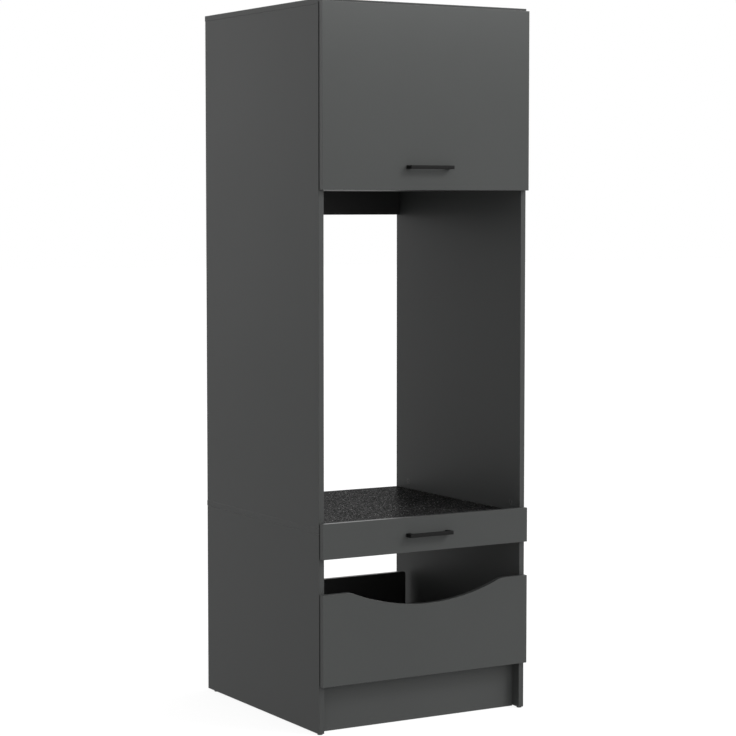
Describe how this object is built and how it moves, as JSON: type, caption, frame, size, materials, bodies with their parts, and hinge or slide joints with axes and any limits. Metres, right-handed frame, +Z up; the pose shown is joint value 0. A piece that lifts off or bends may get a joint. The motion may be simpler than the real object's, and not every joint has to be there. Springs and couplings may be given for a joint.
{
  "type": "washing machine cabinet",
  "caption": "Tall kitchen housing for a raised washing machine, with lift-up flap, open niche, pull-out board and laundry drawer with a wavy front",
  "frame": {"origin": "centre of the whole cabinet's footprint, on the floor, with the handles counted in its depth", "axes": "+Z up, +X to the right when one faces the fronts, -Y out of the fronts towards the user"},
  "size_m": [0.675, 0.727, 2.003],
  "materials": {
    "graphite_board": "chipboard faced with matt graphite melamine",
    "granite_laminate": "chipboard faced with a dark granite-look laminate",
    "hardboard": "painted hardboard",
    "black_board": "chipboard faced with matt black melamine",
    "zinc_steel": "zinc plated",
    "screw_steel": "zinc plated",
    "nickel_steel": "nickel plated",
    "runner_steel": "zinc plated",
    "drawer_steel": "black powder coating",
    "handle_black": "matt black powder coating",
    "tube_black": "black paint",
    "rod_chrome": "hard chrome plated",
    "roller_nylon": "white nylon",
    "glide_black": "black plastic",
    "soft_pad": "clear soft plastic",
    "beech": "fluted beech"
  },
  "bodies": {
    "root": {"top_board": "graphite_board", "upper_side_left": "graphite_board", "upper_side_right": "graphite_board", "platform_board": "granite_laminate", "lower_side_left": "graphite_board", "lower_side_right": "graphite_board", "compartment_floor": "graphite_board", "compartment_back": "hardboard", "compartment_shelf": "graphite_board", "shelf_pins": "zinc_steel", "rear_rail": "black_board", "base_rail": "graphite_board", "base_floor": "graphite_board", "plinth_panel": "graphite_board", "glides": "glide_black", "cam_discs": "zinc_steel", "cam_bolts": "screw_steel", "dowels": "beech", "wall_brackets": "zinc_steel", "wall_bracket_screws": "screw_steel", "hinge_arms": "nickel_steel", "hinge_plates": "nickel_steel", "hinge_plate_screws": "screw_steel", "strut_side_brackets": "zinc_steel", "strut_side_screws": "screw_steel", "pullout_runner_outer": "runner_steel", "drawer_channels": "runner_steel", "runner_screws": "screw_steel"},
    "flap": {"flap_front": "graphite_board", "hinge_cups": "nickel_steel", "hinge_pins": "zinc_steel", "hinge_cup_screws": "screw_steel", "strut_flap_brackets": "zinc_steel", "strut_flap_screws": "screw_steel", "flap_handle": "handle_black", "flap_handle_screws": "screw_steel", "flap_buffers": "soft_pad"},
    "strut_tubes": {"strut_tubes": "tube_black"},
    "strut_rods": {"strut_rods": "rod_chrome"},
    "pullout_middle": {"pullout_runner_middle": "runner_steel", "pullout_ball_cages": "zinc_steel"},
    "pullout": {"pullout_runner_inner": "runner_steel", "pullout_fascia": "graphite_board", "pullout_board": "graphite_board", "pullout_handle": "handle_black", "pullout_handle_screws": "screw_steel", "fascia_angles": "zinc_steel", "pullout_screws": "screw_steel", "fascia_buffers": "soft_pad"},
    "drawer": {"drawer_front": "graphite_board", "drawer_side_left": "drawer_steel", "drawer_side_right": "drawer_steel", "drawer_bottom": "black_board", "drawer_back": "black_board", "drawer_screws": "screw_steel", "drawer_buffers": "soft_pad"},
    "front_rollers": {"drawer_front_rollers": "roller_nylon"},
    "rear_rollers": {"drawer_rear_rollers": "roller_nylon"}
  },
  "joints": [
    {"name": "flap_lift", "type": "hinge", "parent": "root", "child": "flap", "pos_m": [0, -0.332, 1.9895], "axis": [-1, 0, 0], "range_deg": [0, 100]},
    {"name": "strut_swing", "type": "hinge", "parent": "root", "child": "strut_tubes", "pos_m": [0, -0.1505, 1.955], "axis": [-1, 0, 0], "range_deg": [0, 15]},
    {"name": "strut_extend", "type": "slide", "parent": "strut_tubes", "child": "strut_rods", "axis": [0, -0.9848, -0.1736], "range_m": [0, 0.09]},
    {"name": "pullout_slide", "type": "slide", "parent": "root", "child": "pullout", "axis": [0, -1, 0], "range_m": [0, 0.45]},
    {"name": "pullout_middle_slide", "type": "slide", "parent": "root", "child": "pullout_middle", "axis": [0, -1, 0], "range_m": [0, 0.225]},
    {"name": "drawer_slide", "type": "slide", "parent": "root", "child": "drawer", "axis": [0, -1, 0], "range_m": [0, 0.45]},
    {"name": "front_roller_turn", "type": "hinge", "parent": "root", "child": "front_rollers", "pos_m": [0, -0.3005, 0.174], "axis": [1, 0, 0], "range_deg": [0, 2150]},
    {"name": "rear_roller_turn", "type": "hinge", "parent": "drawer", "child": "rear_rollers", "pos_m": [0, 0.2795, 0.1715], "axis": [1, 0, 0], "range_deg": [0, 2150]}
  ],
  "couplings": [
    {"joint": "strut_swing", "follows": "flap_lift", "ratio": 0.14662},
    {"joint": "strut_extend", "follows": "flap_lift", "m_per_rad": 0.051223},
    {"joint": "pullout_middle_slide", "follows": "pullout_slide", "ratio": 0.5},
    {"joint": "front_roller_turn", "follows": "drawer_slide", "rad_per_m": 83.333},
    {"joint": "rear_roller_turn", "follows": "drawer_slide", "rad_per_m": 83.333}
  ]
}
